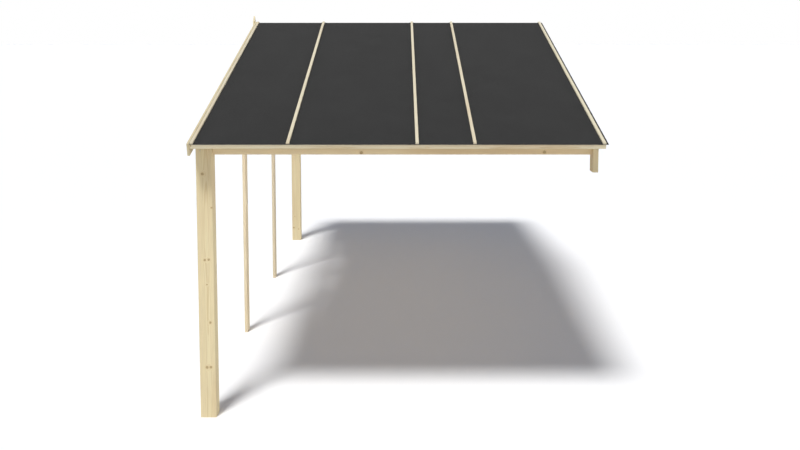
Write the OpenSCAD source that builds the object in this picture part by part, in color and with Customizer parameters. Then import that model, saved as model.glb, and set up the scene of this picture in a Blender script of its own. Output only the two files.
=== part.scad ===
// Saddle-roof patio canopy of planed pine: it stands on two posts and two side studs,
// and its right-hand end hangs on a wall.
//
// Millimetres, +Z up. The wall is the plane x = 0 and the canopy lies on its -X side.
// The ridge runs along X over y = 0. The front eave is on the -Y side, the rear one on the +Y side.
// The origin is on the wall face of the ridge bracket, level with the seat of the ridge beam.

/* [Plan] */
// Distance from the wall to the outer faces of the posts
span = 3016; // [2200:1:4000]
// Depth over the outer faces of the front and rear posts
depth = 6000; // [4600:1:7200]
// Height from the ground to the undersides of the eave beams
headroom = 2032; // [1800:1:2600]
// Pitch of both roof slopes in degrees
pitch = 16; // [10:0.5:25]
// Level reach of the roof boards past the posts
eave_reach = 155; // [80:1:320]
// How far the beams and the roof boards run past the outer faces of the posts
verge = 4; // [0:1:40]
// How far the roof boards run past the wall plane
wall_lap = 15; // [0:1:60]

/* [Posts and studs] */
// Side of the square posts
post_side = 120; // [100:1:160]
// Thickness of the side studs
stud_thick = 30; // [24:1:45]
// Width of the side studs
stud_width = 120; // [70:1:160]

/* [Beams and gable frame] */
// Thickness of the beams, purlins and gable timbers
beam_thick = 45; // [36:1:60]
// Height of the beams and purlins at their lower edge
beam_height = 145; // [110:1:180]
// Height of the gable plate
plate_height = 145; // [110:1:180]
// Width of the short gable posts under the purlins
strut_width = 120; // [90:1:160]
// Depth of the housings that hold timber ends
housing = 15; // [8:1:20]
// Depth of the half lap where a stud meets the gable plate
stud_lap = 15; // [8:1:20]
// Eased corner of posts, beams and studs
arris = 3; // [0.5:0.5:6]

/* [Wall brackets] */
// Thickness of the wall brackets
bracket_thick = 40; // [30:1:60]
// Width of the wall brackets
bracket_width = 112; // [90:1:160]
// How far a bracket reaches below the beam that it carries
bracket_drop = 131; // [60:1:220]

/* [Roof boards and trim] */
// Thickness of the roof boards
board_thick = 18; // [14:0.5:28]
// Cover width of one roof board
board_cover = 96; // [70:1:140]
// Depth of the V joint between roof boards on the underside
board_vee = 4; // [1:0.5:6]
// Thickness of the eave fascia strip
fascia_thick = 18; // [12:1:28]
// Height of the eave fascia strip
fascia_height = 33; // [20:1:60]
// Thickness of the barge boards
barge_thick = 18; // [14:1:28]
// Width of the barge boards
barge_width = 95; // [70:1:160]
// How far the top edge of the barge boards stands above the roof boards
barge_rise = 10; // [4:1:30]
// How far the barge boards run past the fascia
barge_reach = 8; // [0:1:30]
// Thickness of the gable finial board
finial_thick = 14; // [10:1:25]
// Width of the gable finial board
finial_width = 95; // [60:1:140]
// Length of the gable finial board
finial_length = 305; // [220:1:420]
// Length of the pointed head and foot of the finial
finial_point = 60; // [30:1:100]
// How far the finial stands above the peak of the barge boards
finial_rise = 62; // [10:1:120]

/* [Felt and battens] */
// Thickness of the roofing felt
felt_thick = 2; // [1:0.5:4]
// Width of the laps between felt sheets
felt_lap = 52; // [40:1:90]
// How far the felt runs past the fascia at the eaves
felt_lip = 2; // [0:1:20]
// How far the felt runs past the roof boards at the wall
felt_overhang = 19; // [0:1:40]
// Width of the second felt sheet between its two seams
felt_2_width = 943; // [600:1:1000]
// Width of the third felt sheet between its two seams
felt_3_width = 421; // [200:1:600]
// Distance from the wall to the last seam
last_seam = 940; // [500:1:1100]
// Width of the battens on the felt
batten_width = 23; // [16:1:36]
// Height of the battens on the felt
batten_height = 12; // [8:1:24]

/* [Fits] */
// Clearance round a timber in its fork or housing
fit = 0.5; // [0.1:0.1:1.5]
// Clearance of post and bracket heads below the roof boards
head_gap = 1; // [0.5:0.5:3]

/* [Hidden] */
rise = tan(pitch);
outer_x = -span;
plate_inner_x = outer_x + beam_thick;
verge_x = outer_x - verge;
barge_x = verge_x - barge_thick;

// Lines along which the beams lie, measured from the ridge
eave_line = depth / 2 - post_side / 2;
upper_line = eave_line / 3;
lower_line = eave_line * 2 / 3;

// Height of the line where the undersides of both roof slopes meet, above the ground
apex = headroom + beam_height + (eave_line + beam_thick / 2) * rise;

// Height of the origin above the ground
datum = seat(0);

// Lengths down the slope, from the ridge
boards_end = (depth / 2 + eave_reach) / cos(pitch);
fascia_end = boards_end + fascia_thick;
felt_end = fascia_end + felt_lip;
barge_end = fascia_end + barge_reach;

// Seams of the felt and the left sides of its battens
felt_edge = wall_lap + felt_overhang;
seam_3 = -last_seam;
seam_2 = seam_3 - felt_3_width;
seam_1 = seam_2 - felt_2_width;
lap_half = felt_lap / 2;

front = -1;
rear = 1;
far = depth + span;

// Heights above the ground: underside of the roof boards at y, and seat of the beam centred on line
function roof(y) = apex - abs(y) * rise;
function seat(line) = roof(abs(line) + beam_thick / 2) - beam_height;

// Left edge of batten n, counted from the gable
function batten_x(n) = [
    verge_x + felt_thick,
    seam_1 - batten_width / 2,
    seam_2 - batten_width / 2,
    seam_3 - batten_width / 2,
    wall_lap - batten_width
][n - 1];

// Battens over a seam lie on the upper sheet of the lap
function batten_base(n) = board_thick + felt_thick * (n == 1 || n == 5 ? 1 : 2);

// ---- placing ----

// Heights above the ground, put into the model's frame
module above_ground() {
    translate([0, 0, -datum]) children();
}

// A section drawn in Y and Z, run along X
module along_x(from, to) {
    translate([from, 0, 0]) rotate([90, 0, 90]) linear_extrude(to - from) children();
}

// A roof slope: X along the ridge, Y down the slope, Z square to it from the boards' underside
module on_slope(side) {
    mirror([0, side < 0 ? 1 : 0, 0])
        translate([0, 0, apex - datum]) rotate([-pitch, 0, 0]) children();
}

// A strip of the slope from the plumb cut at the ridge down to its square end
module strip(x0, x1, z0, z1, end) {
    along_x(x0, x1) polygon([[-z0 * rise, z0], [end, z0], [end, z1], [-z1 * rise, z1]]);
}

// ---- timber sections ----

// Rectangle with eased corners
module eased(width, length) {
    polygon([
        [arris, 0], [width - arris, 0], [width, arris], [width, length - arris],
        [width - arris, length], [arris, length], [0, length - arris], [0, arris]
    ]);
}

// Upright timber with its head cut to the roof slope, drawn in Y and Z
module head_outline(line, width, foot) {
    left = line - width / 2;
    right = line + width / 2;
    peak = line == 0 ? [[0, roof(0) - head_gap]] : [];
    polygon(concat(
        [[left, foot], [right, foot], [right, roof(right) - head_gap]],
        peak,
        [[left, roof(left) - head_gap]]
    ));
}

// Fork in the head of an upright, or pocket in a bracket, that a beam sits in
module beam_slot(line) {
    translate([line - beam_thick / 2 - fit, seat(line)]) square([beam_thick + 2 * fit, far]);
}

// Section of a beam: its top is planed to the slope and its lower corners are eased
module beam_section(line) {
    left = line - beam_thick / 2;
    right = line + beam_thick / 2;
    low = seat(line);
    peak = line == 0 ? [[0, roof(0)]] : [];
    polygon(concat(
        [[left, low + arris], [left + arris, low], [right - arris, low], [right, low + arris]],
        [[right, roof(right)]],
        peak,
        [[left, roof(left)]]
    ));
}

// ---- posts and studs ----

// Corner post: a fork in its head holds the eave beam, a housing in its inner face the gable plate
module corner_post(side) {
    line = side * eave_line;
    inner_y = side * (eave_line - post_side / 2);
    color("burlywood") above_ground() difference() {
        intersection() {
            translate([outer_x, line - post_side / 2, 0])
                linear_extrude(far) eased(post_side, post_side);
            along_x(outer_x, outer_x + post_side) difference() {
                head_outline(line, post_side, 0);
                beam_slot(line);
            }
        }
        translate([outer_x - fit, inner_y - housing, headroom])
            cube([beam_thick + 2 * fit, 2 * housing, plate_height + fit]);
    }
}

// Side stud: its head is halved and laps onto the outer face of the gable plate
module side_stud(side) {
    y0 = side * upper_line - stud_width / 2;
    color("burlywood") above_ground() difference() {
        translate([outer_x, y0, 0])
            linear_extrude(headroom + plate_height - housing) eased(stud_thick, stud_width);
        translate([outer_x + stud_thick - stud_lap, y0 - fit, headroom])
            cube([stud_thick, stud_width + 2 * fit, plate_height]);
    }
}

// ---- gable frame ----

// Gable plate: housed into both posts, notched for the studs and housed on top for the struts
module gable_plate() {
    reach = eave_line - post_side / 2 + housing - fit;
    top = headroom + plate_height;
    color("burlywood") above_ground() difference() {
        translate([outer_x, reach, headroom])
            rotate([90, 0, 0]) linear_extrude(2 * reach) eased(beam_thick, plate_height);
        for (side = [front, rear])
            translate([outer_x - arris, side * upper_line - stud_width / 2 - fit, headroom - arris])
                cube([arris + stud_thick - stud_lap, stud_width + 2 * fit, plate_height]);
        for (line = [-lower_line, -upper_line, 0, upper_line, lower_line])
            translate([outer_x - fit, line - strut_width / 2 - fit, top - housing])
                cube([beam_thick + 2 * fit, strut_width + 2 * fit, far]);
    }
}

// Short gable post: stands in the plate and carries a purlin in its forked head
module gable_strut(line) {
    foot = headroom + plate_height - housing;
    color("burlywood") above_ground() intersection() {
        translate([outer_x, line - strut_width / 2, 0])
            linear_extrude(far) eased(beam_thick, strut_width);
        along_x(outer_x, plate_inner_x) difference() {
            head_outline(line, strut_width, foot);
            beam_slot(line);
        }
    }
}

// ---- beams ----

// Beam or purlin from the barge board into the housing of its wall bracket
module roof_beam(line) {
    color("tan") above_ground()
        along_x(verge_x, housing - fit - bracket_thick) beam_section(line);
}

// ---- wall brackets ----

// Upright bracket, screwed flat to the wall, with a housing that carries the end of a beam
module wall_bracket(line) {
    foot = seat(line) - bracket_drop;
    color("burlywood") above_ground() difference() {
        along_x(-bracket_thick, 0) head_outline(line, bracket_width, foot);
        along_x(-bracket_thick - 1, housing - bracket_thick) beam_slot(line);
    }
}

// ---- roof boards and trim ----

// Grooved boards of one slope as one panel, with a V joint at every board on the underside
module roof_boards(side) {
    first = verge_x + board_cover;
    joints = [for (x = [first : board_cover : wall_lap - board_vee - 1]) x];
    color("wheat") on_slope(side) intersection() {
        strip(verge_x, wall_lap, 0, board_thick, boards_end);
        translate([0, far, 0]) rotate([90, 0, 0]) linear_extrude(2 * far) polygon(concat(
            [[verge_x, 0]],
            [for (x = joints) each [[x - board_vee, 0], [x, board_vee], [x + board_vee, 0]]],
            [[wall_lap, 0], [wall_lap, board_thick], [verge_x, board_thick]]
        ));
    }
}

// Strip that closes the square-cut ends of the roof boards
module eave_fascia(side) {
    color("wheat") on_slope(side)
        translate([verge_x, boards_end, board_thick - fascia_height])
            cube([wall_lap - verge_x, fascia_thick, fascia_height]);
}

// Barge board on the ends of the beams: plumb cut at the peak, square cut at the eave
module barge_board(side) {
    top = board_thick + barge_rise;
    color("wheat") on_slope(side)
        strip(barge_x, verge_x, top - barge_width, top, barge_end);
}

// Finial board over the joint of the barge boards, pointed at both ends
module gable_finial() {
    top = roof(0) + (board_thick + barge_rise) / cos(pitch) + finial_rise;
    foot = top - finial_length;
    half = finial_width / 2;
    color("wheat") above_ground() along_x(barge_x - finial_thick, barge_x) polygon([
        [0, foot], [half, foot + finial_point], [half, top - finial_point],
        [0, top], [-half, top - finial_point], [-half, foot + finial_point]
    ]);
}

// ---- felt and battens ----

// One felt sheet over both slopes. Where a side is lapped, it steps up onto its neighbour.
// At the verge it is turned up between the barge board and the batten.
module felt_sheet(x0, x1, lap_left, lap_right, turned_up = false) {
    low = board_thick;
    step = felt_thick;
    crest = felt_thick + batten_height;
    left = lap_left ? [[x0, step], [x0 + felt_lap, step], [x0 + felt_lap + step, 0]] : [[x0, 0]];
    right = lap_right ? [[x1 - felt_lap - step, 0], [x1 - felt_lap, step], [x1, step]] : [[x1, 0]];
    under = concat(left, right);
    over = [for (i = [len(under) - 1 : -1 : turned_up ? 1 : 0]) under[i] + [0, felt_thick]];
    upturn = turned_up ? [[x0 + step, felt_thick], [x0 + step, crest], [x0, crest]] : [];
    color("dimgray") for (side = [front, rear]) intersection() {
        on_slope(side) translate([0, felt_end, low])
            rotate([90, 0, 0]) linear_extrude(felt_end + far) polygon(concat(under, over, upturn));
        translate([-far, side < 0 ? -far : 0, -far]) cube([2 * far, far, 2 * far]);
    }
}

// Batten over a felt seam, from the ridge to the edge of the felt
module felt_batten(side, n) {
    base = batten_base(n);
    color("wheat") on_slope(side)
        strip(batten_x(n), batten_x(n) + batten_width, base, base + batten_height, fascia_end);
}

// ---- nodes ----

module front_post() corner_post(front);
module rear_post() corner_post(rear);
module side_stud_front() side_stud(front);
module side_stud_rear() side_stud(rear);
module gable_king_post() gable_strut(0);
module gable_strut_front_upper() gable_strut(-upper_line);
module gable_strut_front_lower() gable_strut(-lower_line);
module gable_strut_rear_upper() gable_strut(upper_line);
module gable_strut_rear_lower() gable_strut(lower_line);
module front_eave_beam() roof_beam(-eave_line);
module rear_eave_beam() roof_beam(eave_line);
module ridge_beam() roof_beam(0);
module front_upper_purlin() roof_beam(-upper_line);
module front_lower_purlin() roof_beam(-lower_line);
module rear_upper_purlin() roof_beam(upper_line);
module rear_lower_purlin() roof_beam(lower_line);
module wall_bracket_front_eave() wall_bracket(-eave_line);
module wall_bracket_front_lower() wall_bracket(-lower_line);
module wall_bracket_front_upper() wall_bracket(-upper_line);
module wall_bracket_ridge() wall_bracket(0);
module wall_bracket_rear_upper() wall_bracket(upper_line);
module wall_bracket_rear_lower() wall_bracket(lower_line);
module wall_bracket_rear_eave() wall_bracket(eave_line);
module roof_boards_front() roof_boards(front);
module roof_boards_rear() roof_boards(rear);
module eave_fascia_front() eave_fascia(front);
module eave_fascia_rear() eave_fascia(rear);
module barge_board_front() barge_board(front);
module barge_board_rear() barge_board(rear);
module felt_sheet_1() felt_sheet(verge_x, seam_1 + lap_half, false, false, turned_up = true);
module felt_sheet_2() felt_sheet(seam_1 - lap_half, seam_2 + lap_half, true, true);
module felt_sheet_3() felt_sheet(seam_2 - lap_half, seam_3 + lap_half, false, false);
module felt_sheet_4() felt_sheet(seam_3 - lap_half, felt_edge, true, false);

front_post();
rear_post();
side_stud_front();
side_stud_rear();
gable_plate();
gable_king_post();
gable_strut_front_upper();
gable_strut_front_lower();
gable_strut_rear_upper();
gable_strut_rear_lower();
front_eave_beam();
rear_eave_beam();
ridge_beam();
front_upper_purlin();
front_lower_purlin();
rear_upper_purlin();
rear_lower_purlin();
wall_bracket_front_eave();
wall_bracket_front_lower();
wall_bracket_front_upper();
wall_bracket_ridge();
wall_bracket_rear_upper();
wall_bracket_rear_lower();
wall_bracket_rear_eave();
roof_boards_front();
roof_boards_rear();
eave_fascia_front();
eave_fascia_rear();
barge_board_front();
barge_board_rear();
gable_finial();
felt_sheet_1();
felt_sheet_2();
felt_sheet_3();
felt_sheet_4();
felt_batten(front, 1);  // front_batten_1
felt_batten(front, 2);  // front_batten_2
felt_batten(front, 3);  // front_batten_3
felt_batten(front, 4);  // front_batten_4
felt_batten(front, 5);  // front_batten_5
felt_batten(rear, 1);  // rear_batten_1
felt_batten(rear, 2);  // rear_batten_2
felt_batten(rear, 3);  // rear_batten_3
felt_batten(rear, 4);  // rear_batten_4
felt_batten(rear, 5);  // rear_batten_5
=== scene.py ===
"""Looks for the saddle-roof patio canopy: planed pine, felt, zinc fixings, floor, light and camera.

Metres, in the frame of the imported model: +Z is up, the wall is the plane x = 0, and the ridge runs
along X over y = 0, from the wall to the gable.
"""

import math
import random

import bmesh
import bpy
from mathutils import Matrix, Vector


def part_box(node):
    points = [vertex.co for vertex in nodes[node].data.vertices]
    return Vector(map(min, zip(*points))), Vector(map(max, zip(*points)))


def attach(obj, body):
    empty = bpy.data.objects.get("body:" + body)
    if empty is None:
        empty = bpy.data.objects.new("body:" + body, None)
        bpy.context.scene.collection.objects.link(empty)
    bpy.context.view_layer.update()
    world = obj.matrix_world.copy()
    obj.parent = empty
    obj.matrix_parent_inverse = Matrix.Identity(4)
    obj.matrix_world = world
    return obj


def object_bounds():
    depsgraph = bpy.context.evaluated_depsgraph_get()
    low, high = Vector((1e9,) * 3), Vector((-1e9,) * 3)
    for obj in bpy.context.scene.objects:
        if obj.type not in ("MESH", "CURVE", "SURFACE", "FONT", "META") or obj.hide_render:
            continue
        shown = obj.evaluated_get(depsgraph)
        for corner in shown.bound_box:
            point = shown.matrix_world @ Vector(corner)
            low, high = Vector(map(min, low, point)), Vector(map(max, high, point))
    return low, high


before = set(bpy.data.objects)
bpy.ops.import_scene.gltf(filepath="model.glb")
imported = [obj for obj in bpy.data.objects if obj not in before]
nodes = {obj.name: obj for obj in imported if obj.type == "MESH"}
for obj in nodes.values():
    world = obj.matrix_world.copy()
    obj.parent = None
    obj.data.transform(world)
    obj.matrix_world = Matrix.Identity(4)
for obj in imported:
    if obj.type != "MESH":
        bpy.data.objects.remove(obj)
cad_box = [list(corner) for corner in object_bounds()]

GROUND = cad_box[0][2]
ALONG_X = Vector((1, 0, 0))
ALONG_Y = Vector((0, 1, 0))
ALONG_Z = Vector((0, 0, 1))
FRONT, REAR = -1, 1
SIDES = {"front": FRONT, "rear": REAR}
BATTENS = range(1, 6)
FELT_SHEETS = range(1, 5)


def corners(node):
    """Lowest and highest corner of a node."""
    return [Vector(corner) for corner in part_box(node)]


def middle(node):
    low, high = corners(node)
    return (low + high) / 2


# ---------------------------------------------------------------- the roof's slopes

def slope_normal(node):
    """Upward normal of a roof slope, from the largest face of its boards."""
    face = max(nodes[node].data.polygons, key=lambda polygon: polygon.area)
    return face.normal.copy() if face.normal.z > 0 else -face.normal


NORMAL = {side: slope_normal(f"roof_boards_{name}") for name, side in SIDES.items()}
DOWN = {side: Vector((0, side * n.z, -side * n.y)) for side, n in NORMAL.items()}
APEX = Vector((0, 0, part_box("ridge_beam")[1][2]))


def on_slope(side, x, u, v):
    """Point x along the ridge, u down the slope from it and v above the underside of the boards."""
    return APEX + ALONG_X * x + DOWN[side] * u + NORMAL[side] * v


def slope_box(node, side):
    """Lowest and highest x, u and v of a node that lies on a slope."""
    local = [
        (p.co.x, (p.co - APEX).dot(DOWN[side]), (p.co - APEX).dot(NORMAL[side]))
        for p in nodes[node].data.vertices
    ]
    return [Vector(pick(column) for column in zip(*local)) for pick in (min, max)]


# ---------------------------------------------------------------- shader building

class Shader:
    """Adds nodes to a tree. An input's value is a socket to link, or a number, vector or colour."""

    def __init__(self, tree):
        self.tree = tree

    def give(self, socket, value):
        """Links an input to a socket, or sets its own value."""
        if isinstance(value, bpy.types.NodeSocket):
            self.tree.links.new(value, socket)
        else:
            socket.default_value = value

    def add(self, kind, inputs=None, **settings):
        node = self.tree.nodes.new(kind if kind.startswith("Node") else "ShaderNode" + kind)
        for name, value in settings.items():
            setattr(node, name, value)
        for name, value in (inputs or {}).items():
            self.give(node.inputs[name], value)
        return node

    def math(self, operation, *values):
        return self.add("Math", dict(enumerate(values)), operation=operation).outputs[0]

    def vector(self, operation, a, b=(0, 0, 0)):
        node = self.add("VectorMath", {0: a, 1: b}, operation=operation)
        return node.outputs["Value" if operation in ("LENGTH", "DISTANCE") else "Vector"]

    def remap(self, value, low, high, to_low=0.0, to_high=1.0, curve="SMOOTHSTEP"):
        """Turns low to high into to_low to to_high, and stays at these beyond them."""
        ends = {"From Min": low, "From Max": high, "To Min": to_low, "To Max": to_high}
        return self.add("MapRange", {"Value": value, **ends}, interpolation_type=curve).outputs[0]

    def noise(self, vector, scale, detail=2.0, colored=False):
        """Noise of one scale, or of three along X, Y and Z."""
        if isinstance(scale, tuple):
            vector, scale = self.vector("MULTIPLY", vector, scale), 1.0
        node = self.add("TexNoise", {"Vector": vector, "Scale": scale, "Detail": detail})
        return node.outputs[1 if colored else 0]

    def mix(self, factor, a, b, blend="MIX"):
        node = self.add("Mix", data_type="RGBA", blend_type=blend)
        for index, value in ((0, factor), (6, a), (7, b)):
            self.give(node.inputs[index], value)
        return node.outputs[2]

    def multiply(self, color, shade):
        return self.mix(1.0, color, shade, "MULTIPLY")

    def ramp(self, value, stops):
        """Colour that follows a value through its stops, each (value, colour or grey number)."""
        node = self.add("ValToRGB", {"Fac": value})
        band = node.color_ramp
        stops = [(at, color if isinstance(color, tuple) else grey(color)) for at, color in stops]
        band.elements[0].position, band.elements[0].color = stops[0]
        band.elements[1].position, band.elements[1].color = stops[-1]
        for position, color in stops[1:-1]:
            band.elements.new(position).color = color
        return node.outputs["Color"]


def grey(value):
    return (value, value, value, 1)


def srgb(red, green, blue):
    """Linear colour of a display colour given as three numbers up to 255."""
    def linear(c):
        c /= 255
        return c / 12.92 if c <= 0.04045 else ((c + 0.055) / 1.055) ** 2.4
    return (linear(red), linear(green), linear(blue), 1)


def group_tree(name, inputs, outputs):
    """New shader group with (name, kind) sockets: its shader, input node and output node."""
    tree = bpy.data.node_groups.new(name, "ShaderNodeTree")
    for in_out, sockets in (("INPUT", inputs), ("OUTPUT", outputs)):
        for socket, kind in sockets:
            tree.interface.new_socket(name=socket, in_out=in_out, socket_type="NodeSocket" + kind)
    shader = Shader(tree)
    return shader, shader.add("NodeGroupInput"), shader.add("NodeGroupOutput")


def empty_tree(owner):
    """Shader over the emptied node tree of a material or world."""
    owner.use_nodes = True
    owner.node_tree.nodes.clear()
    return Shader(owner.node_tree)


def new_material(name, finish):
    """Material whose surface is a Principled shader with the inputs that finish returns."""
    material = bpy.data.materials.new(name)
    shader = empty_tree(material)
    surface = shader.add("BsdfPrincipled", finish(shader))
    shader.add("OutputMaterial", {"Surface": surface.outputs[0]})
    return material


def dress(node, material):
    """Gives a CAD node its finish."""
    slots = nodes[node].data.materials
    slots.clear()
    slots.append(material)


# ---------------------------------------------------------------- pine

RING_WIDTH = 0.0034
RING_PROFILE = [(0, 0.05), (0.45, 0.12), (0.84, 1), (0.95, 0.75), (1, 0.05)]   # its late growth
WAVE_RING = 2 * math.pi / 20        # width of a wave texture's ring at scale 1

# Scales of the patterns, per metre along the grain and across it
KNOT_CELLS = (3.3, 22, 22)
KNOT_EDGE = (90, 160, 160)
RING_DRIFT = (0.7, 7, 7)
RING_CONTRAST = (0.5, 5, 5)
FIBRES = (7, 620, 620)
BLOTCHES = (0.9, 6, 6)

NOISE_MEAN = (0.5, 0.5, 0.5)
KNOT_OVAL = (0.8, 1, 1)             # distances along the grain count less
KNOT_CHANCE = 0.5                   # share of the cells whose knot is too small to show
KNOT_RADII = (0.0005, 0.0075)
KNOT_BULGE = 0.007                  # how far a knot pushes the rings aside
DRIFT_REACH = 0.02                  # how far the rings wander

KNOT_CORE = srgb(193, 170, 127)
KNOT_RIM = srgb(172, 147, 105)
KNOT_HALO = srgb(215, 192, 147)
HEARTWOOD = srgb(214, 172, 120)


def make_pine():
    """Pine as a solid texture, so that the faces of a timber and its end grain agree.

    Grain is a place in the log: X runs along the grain, and the rings lie round it. Knot is the
    distance to the nearest placed knot, in knot radii. Scattered knots come from a cell pattern.
    """
    s, given, made = group_tree(
        "pine",
        [("Grain", "Vector"), ("Knot", "Float"), ("Early", "Color"), ("Late", "Color")],
        [("Color", "Color"), ("Height", "Float"), ("Roughness", "Float")],
    )
    grain = given.outputs["Grain"]

    # scattered knots: each cell has a centre, and its colour says how large its knot is
    cells = s.vector("MULTIPLY", grain, KNOT_CELLS)
    cell = s.add("TexVoronoi", {"Vector": cells, "Scale": 1.0, "Randomness": 0.9}).outputs
    centre = s.vector("DIVIDE", cell["Position"], KNOT_CELLS)
    offset = s.vector("MULTIPLY", s.vector("SUBTRACT", grain, centre), KNOT_OVAL)
    away = s.vector("LENGTH", offset)
    chance = s.add("SeparateColor", {0: cell["Color"]}).outputs[0]
    radius = s.remap(chance, KNOT_CHANCE, 1.0, *KNOT_RADII, curve="LINEAR")
    near = s.math("MINIMUM", s.math("DIVIDE", away, radius), given.outputs["Knot"])
    ragged = s.noise(grain, KNOT_EDGE, detail=1.0)
    knot = s.math("MULTIPLY", near, s.remap(ragged, 0.25, 0.75, 0.86, 1.14))

    # rings wander slowly along the grain and flow round the knots
    wander = s.vector("SUBTRACT", s.noise(grain, RING_DRIFT, colored=True), NOISE_MEAN)
    drift = s.vector("MULTIPLY", wander, (0, DRIFT_REACH, DRIFT_REACH))
    bulge = s.remap(near, 3.2, 0.9, 0.0, KNOT_BULGE)
    aside = s.add("CombineXYZ", {1: bulge, 2: bulge}).outputs[0]
    bent = s.vector("ADD", s.vector("ADD", grain, drift), aside)
    wave = {"Scale": WAVE_RING / RING_WIDTH, "Distortion": 0.6, "Detail": 2.0, "Detail Scale": 0.2}
    rings = s.add("TexWave", {"Vector": bent, **wave},
                  wave_type="RINGS", rings_direction="X", wave_profile="SAW").outputs["Fac"]
    late = s.ramp(rings, RING_PROFILE)
    late = s.math("MULTIPLY", late, s.remap(s.noise(grain, RING_CONTRAST), 0.3, 0.7, 0.35, 0.75))

    # fibres, and slow shifts of tone towards heartwood
    fibre = s.noise(grain, FIBRES)
    blotch = s.noise(grain, BLOTCHES, detail=3.0)
    color = s.mix(late, given.outputs["Early"], given.outputs["Late"])
    color = s.mix(s.remap(blotch, 0.45, 0.8, 0.0, 0.3), color, HEARTWOOD)
    color = s.multiply(color, s.ramp(fibre, [(0.3, 0.9), (0.7, 1.06)]))
    color = s.multiply(color, s.ramp(blotch, [(0.3, 1.04), (0.7, 0.93)]))

    # a knot has fine rings in its core, a dark rim and a warm halo
    core = s.ramp(s.math("FRACT", s.math("MULTIPLY", knot, 3.0)), [(0, KNOT_CORE), (1, KNOT_RIM)])
    core = s.mix(s.remap(knot, 0.55, 0.95), core, KNOT_RIM)
    color = s.mix(s.remap(near, 2.3, 1.0, 0.0, 0.65), color, KNOT_HALO)
    color = s.mix(s.remap(knot, 1.12, 0.92), color, core)

    height = s.math("ADD", s.math("MULTIPLY", late, 0.35), s.math("MULTIPLY", fibre, 0.65))
    height = s.math("ADD", height, s.remap(knot, 1.1, 0.9, 0.0, 0.5))
    s.give(made.inputs["Color"], color)
    s.give(made.inputs["Height"], height)
    s.give(made.inputs["Roughness"], s.remap(late, 0.0, 0.8, 0.68, 0.56))
    return s.tree


PINE = make_pine()
PINE_BUMP = {"Strength": 0.35, "Distance": 0.0006}

# Pale early growth and darker late growth of each stock
STOCK = {
    "post": (srgb(233, 219, 181), srgb(210, 186, 137)),
    "stud": (srgb(234, 221, 193), srgb(212, 189, 147)),
    # The beam stock is paler than the post stock as painted light: it makes up for the shade the
    # beams stand in under the roof and the fascia.
    "beam": (srgb(248, 231, 193), srgb(222, 195, 146)),
    "board": (srgb(232, 212, 172), srgb(204, 172, 122)),
    # The fascia stock is partly painted light: it is paler than the barge and batten stocks to make
    # up for the sun that its downward-tilted face misses.
    "fascia": (srgb(229, 219, 191), srgb(210, 190, 151)),
    "barge": (srgb(222, 210, 176), srgb(198, 180, 140)),
    "batten": (srgb(218, 210, 187), srgb(201, 188, 157)),
}

# How light a timber is beside its stock, where it can be seen; others take any tone in the range
TONE = {
    "side_stud_front": 1.05, "side_stud_rear": 0.89,
    "rear_post": 0.93, "wall_bracket_front_eave": 0.94,
}
TONE_RANGE = (0.965, 1.035)

# Where the centre of a timber may lie in the log: along it, and to both sides of its pith
LOG_LENGTH = 40
PITH_SIDEWAYS = 0.05
PITH_AWAY = (0.02, 0.07)

BOARD_WIDTH = 0.096
BOARD_SHIFT = (50, 0.1, 0.1)        # how far apart in the log neighbouring boards may be cut
BOARD_SHADES = [(0, 0.93), (1, 1.05)]
NO_KNOT = 99.0                      # in knot radii: too far off to leave a mark


def grain_frame(axis):
    """Rotation that turns a timber's grain axis to X."""
    across = axis.orthogonal().normalized() if abs(axis.x) > 0.9 else ALONG_X
    return Matrix((axis, across, axis.cross(across)))


def pine_material(name, stock, axis, centre, knots=(), first_board=None):
    """Pine cut along axis, from its own place in the log.

    knots are the (centre, radius) of knots that show. first_board is the x where the first board
    starts, in a panel of boards that lie side by side.
    """
    dice = random.Random(name)
    turn = grain_frame(axis)
    in_log = Vector((
        dice.uniform(0, LOG_LENGTH),
        dice.uniform(-PITH_SIDEWAYS, PITH_SIDEWAYS),
        dice.choice((-1, 1)) * dice.uniform(*PITH_AWAY),
    ))
    tone = TONE.get(name, dice.uniform(*TONE_RANGE))
    early, late = ([channel * tone for channel in color[:3]] + [1] for color in STOCK[stock])

    def finish(s):
        place = s.add("TexCoord").outputs["Object"]
        to_log = {"Location": in_log - turn @ centre, "Rotation": turn.to_euler()}
        grain = s.add("Mapping", {"Vector": place, **to_log}).outputs[0]
        wood = {"Early": early, "Late": late}
        if first_board is not None:
            x = s.add("SeparateXYZ", {0: place}).outputs[0]
            count = s.math("DIVIDE", s.math("SUBTRACT", x, first_board), BOARD_WIDTH)
            number = s.math("FLOOR", count)
            luck = s.add("TexWhiteNoise", {"W": number}, noise_dimensions="1D").outputs
            shift = s.vector("SUBTRACT", luck["Color"], NOISE_MEAN)
            grain = s.vector("ADD", grain, s.vector("MULTIPLY", shift, BOARD_SHIFT))
            shade = s.ramp(luck["Value"], BOARD_SHADES)
            wood = {key: s.multiply(color, shade) for key, color in wood.items()}
        nearest = NO_KNOT
        for spot, radius in knots:
            away = s.math("DIVIDE", s.vector("DISTANCE", place, spot), radius)
            nearest = s.math("MINIMUM", away, nearest)
        pine = s.add("Group", {"Grain": grain, "Knot": nearest, **wood}, node_tree=PINE).outputs
        bump = s.add("Bump", {"Height": pine["Height"], **PINE_BUMP})
        return {"Base Color": pine["Color"], "Roughness": pine["Roughness"],
                "Specular IOR Level": 0.3, "Normal": bump.outputs[0]}

    return new_material(name, finish)


# ---------------------------------------------------------------- timbers

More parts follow.
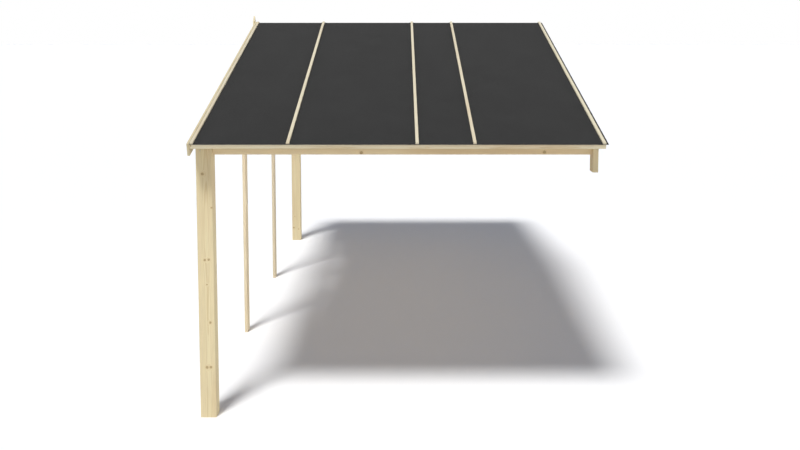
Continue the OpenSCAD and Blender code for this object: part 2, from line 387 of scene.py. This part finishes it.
# Knots that show on front faces. Posts: (across from the outer face, height, radius).
# Beam: (x, height above its underside, radius). Fascia: (from its left end, below its top, radius).
FRONT_POST_KNOTS = [
    (0.048, 1.891, 0.010), (0.112, 1.634, 0.006), (0.053, 1.233, 0.008), (0.084, 1.236, 0.008),
    (0.067, 1.043, 0.005), (0.087, 0.748, 0.008), (0.055, 0.397, 0.010), (0.084, 0.398, 0.009),
]
REAR_POST_KNOTS = [(0.023, 0.181, 0.010), (0.036, 0.340, 0.005)]
BEAM_KNOTS = [(-1.777, 0.014, 0.011), (-0.400, 0.018, 0.011)]
FASCIA_KNOTS = [(0.010, 0.009, 0.005)]


def post_knots(node, places):
    low = corners(node)[0]
    return [((low.x + across, low.y, GROUND + height), radius) for across, height, radius in places]


def beam_knots(node, places):
    low = corners(node)[0]
    return [((x, low.y, low.z + above), radius) for x, above, radius in places]


def fascia_knots(node, side, places):
    low, high = slope_box(node, side)
    return [
        (on_slope(side, low.x + along, high.y, high.z - below), radius)
        for along, below, radius in places
    ]


KNOTS = {
    "front_post": post_knots("front_post", FRONT_POST_KNOTS),
    "rear_post": post_knots("rear_post", REAR_POST_KNOTS),
    "front_eave_beam": beam_knots("front_eave_beam", BEAM_KNOTS),
    "eave_fascia_front": fascia_knots("eave_fascia_front", FRONT, FASCIA_KNOTS),
}

UPRIGHTS = ["front_post", "rear_post", "side_stud_front", "side_stud_rear"]
SHORT_UPRIGHTS = ("gable_king", "gable_strut", "wall_bracket")
UPRIGHTS += [node for node in nodes if node.startswith(SHORT_UPRIGHTS)]
BEAMS = [node for node in nodes if node.endswith(("_beam", "_purlin"))]


def cut(node, stock, axis, **more):
    """Dresses a timber in its own piece of pine, with its grain along axis."""
    dress(node, pine_material(node, stock, axis, middle(node), KNOTS.get(node, ()), **more))


for node in UPRIGHTS:
    cut(node, "stud" if "stud" in node else "post", ALONG_Z)
for node in BEAMS:
    cut(node, "beam", ALONG_X)
cut("gable_plate", "beam", ALONG_Y)
cut("gable_finial", "barge", ALONG_Z)

FIRST_BOARD = slope_box("roof_boards_front", FRONT)[0].x
for name, side in SIDES.items():
    cut(f"roof_boards_{name}", "board", DOWN[side], first_board=FIRST_BOARD)
    cut(f"eave_fascia_{name}", "fascia", ALONG_X)
    cut(f"barge_board_{name}", "barge", DOWN[side])
    for number in BATTENS:
        cut(f"{name}_batten_{number}", "batten", DOWN[side])


# ---------------------------------------------------------------- roofing felt

FELT_GRANULES = 620.0               # per metre
FELT_GREYS = [(0, 0.0134), (0.7, 0.0243), (1, 0.0505)]
FELT_MOTTLE = 3.5


def felt_finish(s):
    """Dark bitumen felt with crushed-slate granules, slightly mottled."""
    place = s.add("TexCoord").outputs["Object"]
    granule = s.add("TexVoronoi", {"Vector": place, "Scale": FELT_GRANULES}).outputs
    speck = s.add("SeparateColor", {0: granule["Color"]}).outputs[0]
    mottle = s.noise(place, FELT_MOTTLE, detail=4.0)
    color = s.ramp(speck, FELT_GREYS)
    color = s.multiply(color, s.ramp(mottle, [(0.3, 0.93), (0.7, 1.07)]))
    grit = s.math("SUBTRACT", 1.0, granule["Distance"])
    height = s.math("ADD", grit, s.math("MULTIPLY", mottle, 2.0))
    bump = s.add("Bump", {"Height": height, "Strength": 0.5, "Distance": 0.0008})
    return {"Base Color": color, "Roughness": 0.92,
            "Specular IOR Level": 0.2, "Normal": bump.outputs[0]}


FELT = new_material("roofing_felt", felt_finish)
for number in FELT_SHEETS:
    dress(f"felt_sheet_{number}", FELT)


# ---------------------------------------------------------------- fixings

ZINC_PATCHES = 180.0                # per metre


def zinc_finish(s):
    """Zinc plating: pale grey with a faint spangle and dull patches."""
    place = s.add("TexCoord").outputs["Object"]
    patch = s.noise(place, ZINC_PATCHES, detail=3.0)
    color = s.ramp(patch, [(0.3, 0.42), (0.7, 0.6)])
    return {"Base Color": color, "Metallic": 1.0, "Roughness": s.remap(patch, 0.3, 0.7, 0.32, 0.5)}


ZINC = new_material("zinc_fixings", zinc_finish)


def turned(mesh, place, facing, profile, sides):
    """Adds a turned shape to a mesh: profile is (radius, height) from its base to its middle."""
    up = facing.normalized()
    across = up.orthogonal().normalized()
    over = up.cross(across)
    rows = []
    for radius, height in profile:
        hub = place + up * height
        if radius == 0:
            rows.append([mesh.verts.new(hub)])
            continue
        angles = (2 * math.pi * i / sides for i in range(sides))
        rows.append([
            mesh.verts.new(hub + radius * (across * math.cos(a) + over * math.sin(a)))
            for a in angles
        ])
    for lower, upper in zip(rows, rows[1:]):
        for i in range(sides):
            j = (i + 1) % sides
            ring = [lower[i], lower[j], upper[j % len(upper)], upper[i % len(upper)]]
            mesh.faces.new(list(dict.fromkeys(ring)))
    mesh.faces.new(list(reversed(rows[0])))


def fixings(name, places, shape):
    """One mesh with a turned shape at each (point, direction) of places."""
    profile, sides = shape
    mesh = bmesh.new()
    for place, facing in places:
        turned(mesh, Vector(place), Vector(facing), profile, sides)
    data = bpy.data.meshes.new(name)
    mesh.to_mesh(data)
    mesh.free()
    piece = bpy.data.objects.new(name, data)
    bpy.context.scene.collection.objects.link(piece)
    data.materials.append(ZINC)
    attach(piece, "root")


# A shape is its profile and its number of sides: a low dome, and a flat head with a recess
NAIL = ([(0.0026, -0.002), (0.0026, 0.0001), (0.0022, 0.0006), (0, 0.0009)], 10)
SCREW = (
    [(0.0045, -0.002), (0.0045, 0.0002), (0.0041, 0.0005),
     (0.0019, 0.0005), (0.0016, -0.0012), (0, -0.0014)],
    12,
)

# battens: evenly spaced nails along the middle of each, starting near its foot
NAIL_STEP = 0.3
LOWEST_NAIL = 0.04                  # above the foot
BARE_BATTEN = 0.1                   # length without nails, foot and ridge end together
batten_nails = []
for name, side in SIDES.items():
    for number in BATTENS:
        low, high = slope_box(f"{name}_batten_{number}", side)
        steps = int((high.y - BARE_BATTEN) / NAIL_STEP)
        line = (low.x + high.x) / 2
        batten_nails += [
            (on_slope(side, line, high.y - LOWEST_NAIL - i * NAIL_STEP, high.z), NORMAL[side])
            for i in range(steps + 1)
        ]
fixings("batten_nails", batten_nails, NAIL)

# fascias: a nail into the middle of every second roof board's end
HALF_BOARD = 0.009                  # of its thickness
fascia_nails = []
for name, side in SIDES.items():
    low, high = slope_box(f"eave_fascia_{name}", side)
    pairs = int((high.x - low.x) / (2 * BOARD_WIDTH))
    places = (low.x + (2 * i + 0.5) * BOARD_WIDTH for i in range(pairs + 1))
    fascia_nails += [(on_slope(side, x, high.y, high.z - HALF_BOARD), DOWN[side]) for x in places]
fixings("fascia_nails", fascia_nails, NAIL)

# barge boards: two screws into the end of each beam, below the roof boards
BARGE_SCREW_DROPS = (0.018, 0.045)
barge_screws = []
for name, side in SIDES.items():
    face = slope_box(f"barge_board_{name}", side)[0].x
    for beam in BEAMS:
        line = middle(beam).y
        if line * side < 0 or beam == "ridge_beam":
            continue
        u = abs(line) / abs(DOWN[side].y)
        barge_screws += [(on_slope(side, face, u, -drop), -ALONG_X) for drop in BARGE_SCREW_DROPS]
fixings("barge_board_screws", barge_screws, SCREW)

# finial: two screws into each barge board, below the point where they meet
FINIAL_SCREW_DROPS = (0.03, 0.075)
FINIAL_SCREW_ASIDE = 0.026
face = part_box("gable_finial")[0][0]
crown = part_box("barge_board_front")[1][2]
finial_screws = [
    (Vector((face, side * FINIAL_SCREW_ASIDE, crown - drop)), -ALONG_X)
    for side in (FRONT, REAR) for drop in FINIAL_SCREW_DROPS
]
fixings("finial_screws", finial_screws, SCREW)

# the screws of forks, laps and brackets stand at the same two heights above a timber's lower edge
SCREW_RISES = (0.035, 0.095)

# forks: two staggered screws through each cheek into the beam
FORK_STAGGER = 0.22                 # of the post's width, to both sides of its middle
FORKS = {
    "front_post": "front_eave_beam",
    "rear_post": "rear_eave_beam",
    "gable_king_post": "ridge_beam",
    "gable_strut_front_upper": "front_upper_purlin",
    "gable_strut_front_lower": "front_lower_purlin",
    "gable_strut_rear_upper": "rear_upper_purlin",
    "gable_strut_rear_lower": "rear_lower_purlin",
}
fork_screws = []
for post, beam in FORKS.items():
    low, high = corners(post)
    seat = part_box(beam)[0][2]
    across = (high.x - low.x) * FORK_STAGGER
    for y, facing in ((low.y, -ALONG_Y), (high.y, ALONG_Y)):
        fork_screws += [
            (Vector(((low.x + high.x) / 2 + aside, y, seat + rise)), facing)
            for aside, rise in zip((-across, across), SCREW_RISES)
        ]
fixings("fork_screws", fork_screws, SCREW)

# studs: four screws through each half lap into the gable plate
LAP_SCREW_ASIDE = 0.035
lap_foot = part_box("gable_plate")[0][2]
lap_screws = []
for stud in ("side_stud_front", "side_stud_rear"):
    low, high = corners(stud)
    lap_screws += [
        (Vector((low.x, (low.y + high.y) / 2 + aside, lap_foot + rise)), -ALONG_X)
        for aside in (-LAP_SCREW_ASIDE, LAP_SCREW_ASIDE) for rise in SCREW_RISES
    ]
fixings("stud_lap_screws", lap_screws, SCREW)

# wall brackets: two screws, one above the other, below each beam's seat
bracket_screws = []
for bracket in (node for node in nodes if node.startswith("wall_bracket")):
    low, high = corners(bracket)
    bracket_screws += [
        (Vector((low.x, (low.y + high.y) / 2, low.z + rise)), -ALONG_X) for rise in SCREW_RISES
    ]
fixings("bracket_screws", bracket_screws, SCREW)


# ---------------------------------------------------------------- floor, light and camera

FLOOR_SIZE = 400
FLOOR_GAP = 0.0005                  # keeps the feet's end faces clear of it
FLOOR_WHITE = 0.985                 # its grey as the camera sees it
FLOOR_BOUNCE = 0.5                  # its grey for the light that it throws back
FLOOR_LIFT = (0.003, 0.018, 0.056, 1)   # what its white lacks, most in blue

SKY_LOW, SKY_HIGH = 2.86, 0.1       # strength at the horizon, and from SKY_EDGE up
SKY_EDGE = 0.3                      # as the height of a direction of length 1
SKY_RIGHT = 0.3                     # gain towards +X, and as much loss towards -X
SKY_SIDES = 0.8                     # gain towards both

SUN_REACH = Vector((0.193, 0.48, -1))   # which way its rays go
SUN_STRENGTH = 2.8
SUN_SOFTNESS = 12.5                 # degrees

EYE_X, EYE_Y, EYE_HEIGHT = -1.486, -9.648, 2.954   # in front of the middle of the roof
LOOK_DOWN = 5.195                   # degrees
LENS, SENSOR = 40.33, 36            # millimetres
LENS_SHIFT = -0.14


def make_floor():
    """Wide floor. What the camera sees of it is lifted to plain white, and it keeps the shadow."""
    bpy.ops.mesh.primitive_plane_add(size=FLOOR_SIZE, location=(0, 0, GROUND - FLOOR_GAP))
    floor = bpy.context.object
    floor.name = "floor"
    material = bpy.data.materials.new("floor")
    s = empty_tree(material)
    seen = s.add("LightPath").outputs["Is Camera Ray"]
    paper = s.add("BsdfDiffuse", {"Color": s.mix(seen, grey(FLOOR_BOUNCE), grey(FLOOR_WHITE))})
    lift = s.add("Emission", {"Color": FLOOR_LIFT, "Strength": seen})
    both = s.add("AddShader", {0: paper.outputs[0], 1: lift.outputs[0]})
    s.add("OutputMaterial", {"Surface": both.outputs[0]})
    floor.data.materials.append(material)


def make_sky():
    """Soft light all round, strongest from low down and from the sides.

    The camera sees plain white in its place, and so do mirrors and glass.
    """
    world = bpy.data.worlds.new("sky")
    bpy.context.scene.world = world
    s = empty_tree(world)
    path = s.add("LightPath").outputs
    seen = s.math("MAXIMUM", path["Is Glossy Ray"], path["Is Transmission Ray"])
    seen = s.math("MAXIMUM", path["Is Camera Ray"], seen)
    x, _, z = s.add("SeparateXYZ", {0: s.add("TexCoord").outputs["Generated"]}).outputs
    light = s.remap(z, 0.0, SKY_EDGE, SKY_LOW, SKY_HIGH)
    sides = s.math("MULTIPLY_ADD", x, s.math("MULTIPLY_ADD", x, SKY_SIDES, SKY_RIGHT), 1.0)
    light = s.math("MULTIPLY", light, sides)
    strength = s.add("Mix", {0: seen, 2: light, 3: 1.0}).outputs[0]
    sky = s.add("Background", {"Color": grey(1), "Strength": strength})
    s.add("OutputWorld", {"Surface": sky.outputs[0]})


def make_sun():
    """Large soft sun, high at the front left."""
    data = bpy.data.lights.new("sun", "SUN")
    data.energy = SUN_STRENGTH
    data.angle = math.radians(SUN_SOFTNESS)
    sun = bpy.data.objects.new("sun", data)
    sun.rotation_euler = SUN_REACH.to_track_quat("-Z", "Y").to_euler()
    bpy.context.scene.collection.objects.link(sun)


def make_camera():
    """Camera straight in front, looking slightly down.

    Part of the framing comes from the tilt, because other views keep the shift of the lens.
    """
    data = bpy.data.cameras.new("camera")
    data.sensor_width = SENSOR
    data.lens = LENS
    data.shift_y = LENS_SHIFT
    camera = bpy.data.objects.new("camera", data)
    camera.location = (EYE_X, EYE_Y, GROUND + EYE_HEIGHT)
    camera.rotation_euler = (math.radians(90 - LOOK_DOWN), 0, 0)
    bpy.context.scene.collection.objects.link(camera)
    bpy.context.scene.camera = camera


make_floor()
make_sky()
make_sun()
make_camera()
bpy.context.scene.view_settings.view_transform = "Standard"
